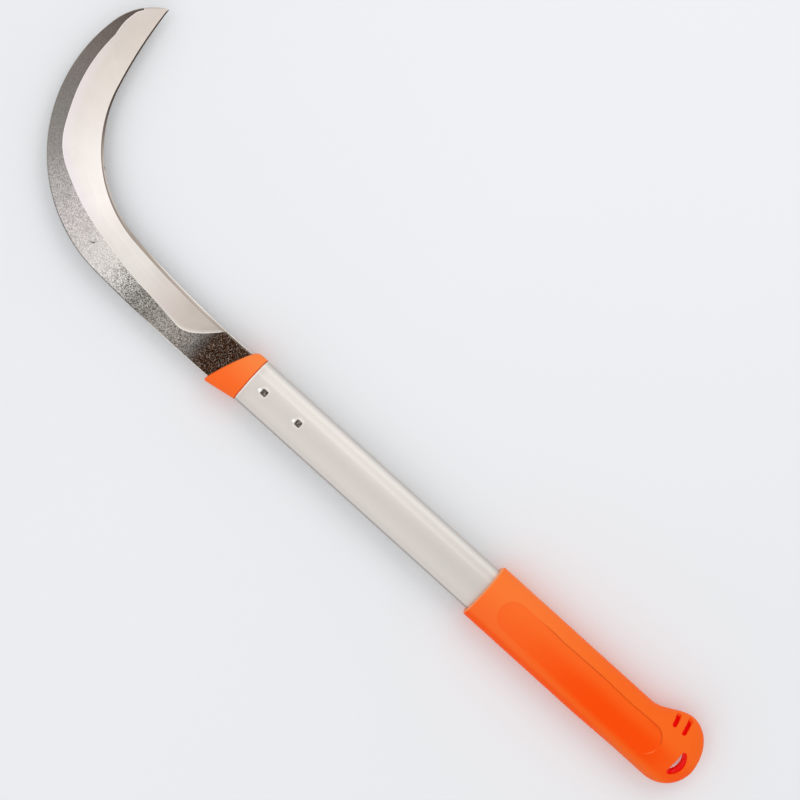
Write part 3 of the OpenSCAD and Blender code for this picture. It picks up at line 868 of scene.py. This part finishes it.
def cutter_round(name, corners, bottom, top):
    """A block between two heights. Its outline turns round corners [x, y, radius, from, to, steps]."""
    block = None
    for x, y, radius, turn_from, turn_to, steps in corners:
        start = Vector((x + radius * math.cos(turn_from), y + radius * math.sin(turn_from), bottom))
        if block:
            drawn = bmesh.from_edit_mesh(block.data).verts
            last = next(vertex.co.copy() for vertex in drawn if vertex.select)
            bpy.ops.mesh.extrude_vertices_move(TRANSFORM_OT_translate={"value": start - last})
        else:
            block = lone_point(name, start)
        draw_arc((x, y, bottom), turn_to - turn_from, (0, 0, 1), steps)
    bpy.ops.mesh.select_all(action="SELECT")
    bpy.ops.mesh.remove_doubles(threshold=same_place)
    bpy.ops.mesh.edge_face_add()
    bpy.ops.mesh.extrude_region_move(TRANSFORM_OT_translate={"value": (0, 0, top - bottom)})
    bpy.ops.mesh.select_all(action="SELECT")
    bpy.ops.mesh.normals_make_consistent(inside=False)
    bpy.ops.object.mode_set(mode="OBJECT")
    return block


def mirrored(piece, face):
    """Turns a cutter made for the upper face over to the lower one, if face is -1."""
    if face < 0:
        edit(piece)
        bpy.ops.mesh.select_all(action="SELECT")
        bpy.ops.transform.resize(value=(1, 1, -1), center_override=(0, 0, axis_z))
        bpy.ops.mesh.normals_make_consistent(inside=False)
        bpy.ops.object.mode_set(mode="OBJECT")
    return piece


# The panel's floor is a crown, set a little to the side away from the hook, so that the step
# round it is plain on the hook's side and all but gone on the other
quarter_turn = math.pi / 2
crown_z = axis_z + grip_half_t - panel_depth - panel_crown_r
crown_z -= (panel_front - panel_crown_x) * math.tan(panel_tilt)
above_grip = axis_z + 20 * MM
below_grip = axis_z - 20 * MM
slot_turn = Matrix.Rotation(slot_slant, 2)
for face in (1, -1):
    panel = cutter_round("panel_cutter", [
        (panel_front - panel_r, axis_y, panel_r, -quarter_turn, quarter_turn, round_end_steps),
        (panel_back + panel_r, axis_y, panel_r, quarter_turn, 3 * quarter_turn, round_end_steps)],
        axis_z + 5 * MM, above_grip)
    bpy.ops.object.select_all(action="DESELECT")
    bpy.ops.mesh.primitive_cylinder_add(
        vertices=256, radius=panel_crown_r, depth=200 * MM,
        location=(panel_crown_x, panel_crown_y, crown_z), rotation=(0, quarter_turn - panel_tilt, 0))
    cut(panel, bpy.context.object)
    cut(grip, mirrored(panel, face))
    for from_butt, from_axis, length in slots:
        slot_middle = Vector((butt_x + from_butt, axis_y + from_axis))
        corners = []
        for quarter, (side_x, side_y) in enumerate(((1, 1), (-1, 1), (-1, -1), (1, -1))):
            offset = Vector((side_x * (slot_w / 2 - slot_corner), side_y * (length / 2 - slot_corner)))
            corner = slot_middle + slot_turn @ offset
            turn_from = slot_slant + quarter * quarter_turn
            turn_to = turn_from + quarter_turn
            corners.append((*corner, slot_corner, turn_from, turn_to, slot_corner_steps))
        slot = cutter_round("slot_cutter", corners, axis_z + slot_floor, above_grip)
        cut(grip, mirrored(slot, face))

# The hole is a flat side with two small corners, closed by a wide bow that meets them smoothly
hole_side = hole_w / 2 - hole_corner
hole_rise = hole_h - 2 * hole_corner
bow_r = (hole_rise ** 2 + hole_side ** 2) / (2 * hole_rise) + hole_corner
full_turn = 2 * math.pi
meet = math.pi - math.atan2(hole_side, hole_corner + bow_r - hole_h)
meet_again = full_turn - meet
corner_x = hole_x - hole_corner
cut(grip, cutter_round("hole_cutter", [
    (corner_x, hole_y + hole_side, hole_corner, 0, meet, hole_corner_steps),
    (hole_x + bow_r - hole_h, hole_y, bow_r, meet, meet_again, round_end_steps),
    (corner_x, hole_y - hole_side, hole_corner, meet_again, full_turn, hole_corner_steps)],
    below_grip, above_grip))
apply_modifier(grip, "REMESH", mode="VOXEL", voxel_size=voxel)
apply_modifier(grip, "SMOOTH", factor=0.5, iterations=4)

# The bore is cut last, so that the tube fits it closely
bore_start = grip_mouth_x + MM
bore = draw_oval("bore_cutter", bore_start, tube_half_w + bore_play, tube_half_t + bore_play, tube_side_r)
bpy.ops.mesh.edge_face_add()
bpy.ops.mesh.extrude_region_move(TRANSFORM_OT_translate={"value": (tube_low.x - bore_start, 0, 0)})
bpy.ops.mesh.select_all(action="SELECT")
bpy.ops.mesh.normals_make_consistent(inside=False)
bpy.ops.object.mode_set(mode="OBJECT")
cut(grip, bore)
bpy.ops.object.shade_smooth_by_angle(angle=math.radians(40))

# How deep each point of the hole and the slots lies below the grip's outer skin is stored on it
points = np.array([vertex.co for vertex in grip.data.vertices])
middle, to_back, to_hook, half_t = grip_outline(points[:, 0])
across = points[:, 1] - axis_y - middle
sideways = np.abs(across / np.where(across > 0, to_back, to_hook))
upwards = np.abs((points[:, 2] - axis_z) / half_t)
outward = (sideways ** grip_fullness + upwards ** grip_fullness) ** (1 / grip_fullness)
sunk = np.clip(1 - outward, 0, 1) * half_t
by_butt = points[:, 0] < butt_x + 40 * MM
off_panel = (points[:, 1] < axis_y - 13 * MM) | (points[:, 0] < butt_x + 26 * MM)
depths = np.where(by_butt & off_panel, sunk, 0)
grip.data.attributes.new("pocket_depth", "FLOAT", "POINT").data.foreach_set("value", depths)

# The grip's tone is painted deeper towards the butt and the middle as painted shade, painted lighter on
# the lit side by the mouth, and greyed along one side by the butt as a painted reflection. The panel's
# edge has a painted shade line on the hook's side and a painted highlight round its end.
grip_plastic = Plastic("orange_grip_plastic", glow=1)
grip_x = grip_plastic.coordinate("X")
grip_y = grip_plastic.across(3 * MM)
from_middle_z = abs(grip_plastic.coordinate("Z") - axis_z)
# Painted light by the mouth: lighter on the side where the light falls
by_mouth = grip_plastic.step(grip_x, -250 * MM, -130 * MM)
mouth_lit_tone = grip_plastic.blend(
    grip_plastic.step(grip_y, -12 * MM, 14 * MM), screen(255, 122, 53), screen(255, 109, 45))

# How far a point is from the panel's edge: below 0 inside it, and above 0 outside
past_ends = abs(grip_x - (panel_front + panel_back) / 2) - panel_length / 2 + panel_r
past_ends = past_ends.math("MAXIMUM", past_ends, 0)
from_panel = (past_ends * past_ends + grip_y * grip_y) ** 0.5 - panel_r
in_panel = grip_plastic.step(from_panel, 0.4 * MM, -0.4 * MM)
# Painted shade and a painted highlight along the step round the panel
panel_line = grip_plastic.band(from_panel, 0, 0.65 * MM)
panel_step_shade = grip_plastic.step(grip_y, -1 * MM, -4 * MM) * grip_plastic.step(grip_x, -158 * MM, -172 * MM)
panel_step_highlight = grip_plastic.band(grip_y, 4.5 * MM, 5 * MM)
panel_step_highlight = panel_step_highlight * grip_plastic.step(grip_x, panel_back + 14 * MM, panel_back + 8 * MM)

# The share of the painted shade that deepens the tone, that of the painted shade and reflection along the
# low side, and that of the painted highlight on the rim at the grip's mouth
deep_shade = grip_plastic.step(grip_y, -10 * MM, 2.6 * MM) * grip_plastic.step(grip_y, 16 * MM, 9 * MM)
deep_shade = deep_shade * grip_plastic.step(grip_x, -140 * MM, -225 * MM)
deep_shade = deep_shade * (1 - 0.4 * grip_plastic.step(grip_x, -262 * MM, -285 * MM))
# Painted shade and reflection along the low side: deep red-orange towards the mouth, grey by the butt
shaded_low_side = grip_plastic.step(grip_y, 13.5 * MM, 17.5 * MM)
shaded_low_side = shaded_low_side * grip_plastic.step(from_middle_z, 1 * MM, 5 * MM)
shaded_low_side = shaded_low_side * grip_plastic.step(grip_x, -292 * MM, -282 * MM)
shaded_low_side = shaded_low_side * (0.35 + 0.5 * grip_plastic.step(grip_x, -250 * MM, -225 * MM))
shaded_low_side_tone = grip_plastic.blend(
    grip_plastic.step(grip_x, -225 * MM, -256 * MM), screen(255, 84, 16), screen(226, 104, 60))
# A painted highlight on the lip's rim at the mouth
lip_highlight = grip_plastic.step(grip_x, grip_mouth_x - 0.9 * MM, grip_mouth_x - 0.2 * MM)

# Inside the hole and the slots the walls are painted red, paler half way down, as painted shade, and get a
# painted red glow for the light that the thin walls let through
pocket_depth = grip_plastic.stored("pocket_depth")
in_pocket = grip_plastic.step(pocket_depth, 0.7 * MM, 1.5 * MM)
half_way_down = grip_plastic.band(pocket_depth, 6 * MM, 5 * MM)
painted_pocket_tone = grip_plastic.blend(half_way_down, screen(216, 10, 6), screen(245, 52, 46))
painted_glow = (0.16, 0, 0)
grip_plastic.show(
    Base_Color=grip_plastic.layered(
        grip_plastic.blend(by_mouth, screen(255, 105, 33), mouth_lit_tone),
        (deep_shade + 0.3 * in_panel - 0.3 * deep_shade * in_panel, screen(255, 78, 2)),
        (shaded_low_side, shaded_low_side_tone),
        (0.45 * panel_line * panel_step_shade, screen(150, 40, 4)),
        (0.5 * panel_line * panel_step_highlight, screen(255, 140, 70)),
        (0.5 * lip_highlight, screen(255, 190, 140)),
        (in_pocket, painted_pocket_tone)),
    Emission_Color=grip_plastic.blend(in_pocket, (0, 0, 0), painted_glow))
grip.data.materials.append(grip_plastic.material)
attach(grip, "root")
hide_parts("grip_sleeve")


# The view is the photograph's: straight down from about a metre, with the blade on the left.
# The light comes from soft boxes on either side over a plain pale floor.
camera_place = Vector((-1.5, 6.0, 973.5)) * MM
tool_slant = math.radians(42.1139)
image_right = Vector((-math.cos(tool_slant), -math.sin(tool_slant), 0))
image_up = Vector((math.sin(tool_slant), -math.cos(tool_slant), 0))
camera_data = bpy.data.cameras.new("photo_camera")
camera_data.lens = 67.5
camera_data.sensor_width = 36
camera = bpy.data.objects.new("photo_camera", camera_data)
camera.location = camera_place
camera.rotation_euler = (0, 0, math.atan2(image_right.y, image_right.x))
bpy.context.collection.objects.link(camera)
bpy.context.scene.camera = camera

floor_w = 60
bpy.ops.object.select_all(action="DESELECT")
bpy.ops.mesh.primitive_plane_add(size=floor_w)
floor = bpy.context.object
floor.name = "pale_floor"
floor_finish = Finish("pale_floor", {"Specular IOR Level": 0.1})
floor_cloud = floor_finish.grain(floor_finish.place(), 3)
floor_finish.show(
    Base_Color=floor_finish.blend(floor_cloud, (0.86, 0.86, 0.86), (0.88, 0.88, 0.88)),
    Roughness=0.85 + 0.1 * floor_cloud)
floor.data.materials.append(floor_finish.material)


def soft_box(name, image_x, image_y, height, size, power):
    """A square area lamp placed in the picture's own axes, in millimetres, facing the tool."""
    light = bpy.data.lights.new(name, "AREA")
    light.size = size * MM
    light.energy = power
    lamp = bpy.data.objects.new(name, light)
    spot = image_right * image_x + image_up * image_y
    lamp.location = (spot.x * MM, spot.y * MM, height * MM)
    lamp.rotation_euler = (-lamp.location).to_track_quat("-Z", "Y").to_euler()
    bpy.context.collection.objects.link(lamp)


soft_box("key_upper_right", image_x=450, image_y=560, height=900, size=620, power=2)
soft_box("fill_lower_left", image_x=-560, image_y=-690, height=800, size=900, power=1.2)
soft_box("overhead_left", image_x=-400, image_y=225, height=1000, size=330, power=0.45)

# The pale room lights the tool, and the camera, the metal and anything clear see plain white
world = bpy.data.worlds.new("pale_room")
bpy.context.scene.world = world
world.use_nodes = True
room = world.node_tree
background = room.nodes["Background"]
background.inputs["Color"].default_value = (0.95, 0.97, 1, 1)
background.inputs["Strength"].default_value = 0.82
backdrop = room.nodes.new("ShaderNodeBackground")
backdrop.inputs["Color"].default_value = (1, 1, 1, 1)
backdrop.inputs["Strength"].default_value = 1
path = room.nodes.new("ShaderNodeLightPath")
sees_backdrop = path.outputs["Is Camera Ray"]
for ray in ("Is Glossy Ray", "Is Transmission Ray"):
    either = room.nodes.new("ShaderNodeMath")
    either.operation = "MAXIMUM"
    room.links.new(sees_backdrop, either.inputs[0])
    room.links.new(path.outputs[ray], either.inputs[1])
    sees_backdrop = either.outputs[0]
mix = room.nodes.new("ShaderNodeMixShader")
room.links.new(sees_backdrop, mix.inputs["Fac"])
room.links.new(background.outputs[0], mix.inputs[1])
room.links.new(backdrop.outputs[0], mix.inputs[2])
room.links.new(mix.outputs[0], room.nodes["World Output"].inputs["Surface"])
bpy.context.scene.view_settings.view_transform = "Standard"
